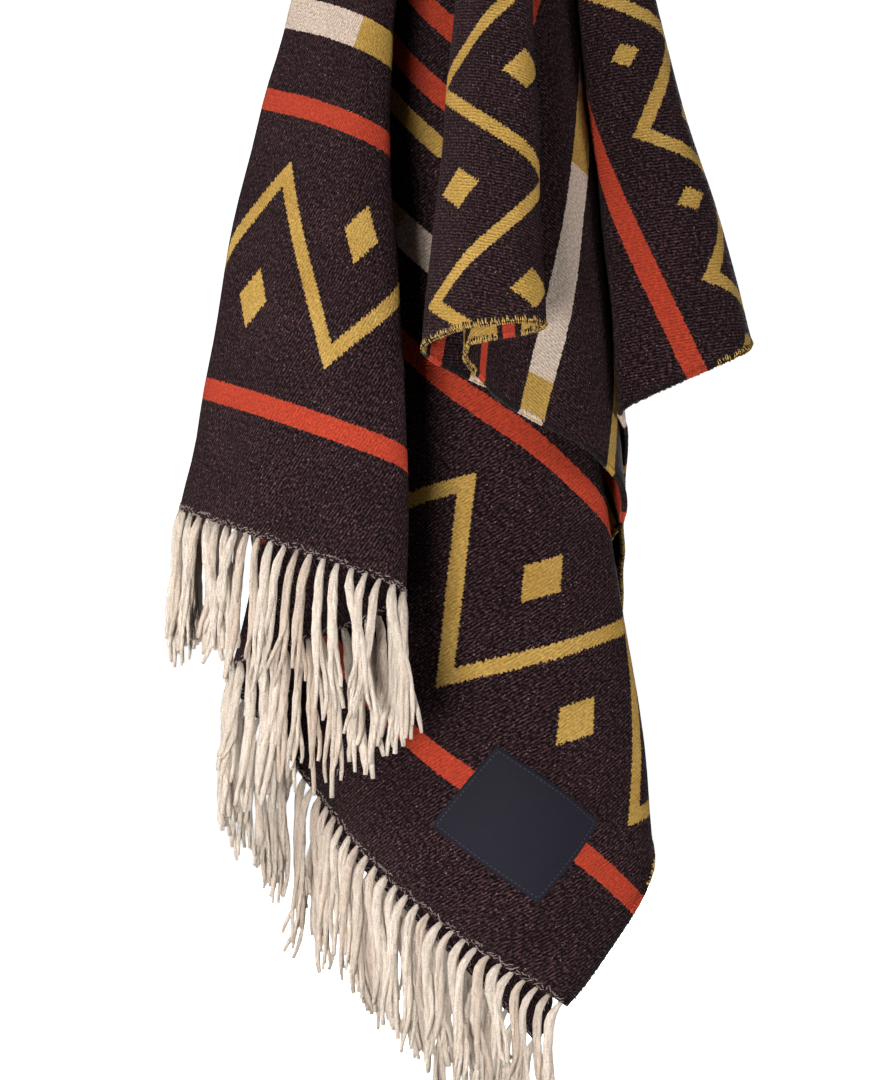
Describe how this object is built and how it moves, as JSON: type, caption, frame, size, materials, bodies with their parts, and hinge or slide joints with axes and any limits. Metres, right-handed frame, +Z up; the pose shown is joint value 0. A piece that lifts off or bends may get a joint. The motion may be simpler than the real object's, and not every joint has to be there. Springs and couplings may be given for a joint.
{
  "type": "throw blanket",
  "caption": "Dark woven wool throw with striped bands and fringed ends, hanging in deep folds from a point above.",
  "frame": {"origin": "the point where the gathered middle of the throw is held", "axes": "+Z up, from the hanging corners to the held point; the front of the throw faces -Y and +X is to its right"},
  "size_m": [0.378, 0.507, 1.2951],
  "materials": {
    "dark_wool": "matte",
    "cream_fringe": "matte",
    "navy_label": "matte"
  },
  "bodies": {
    "root": {"throw_cloth": "dark_wool", "front_fringe": "cream_fringe", "back_fringe": "cream_fringe", "sewn_label": "navy_label"}
  },
  "joints": []
}
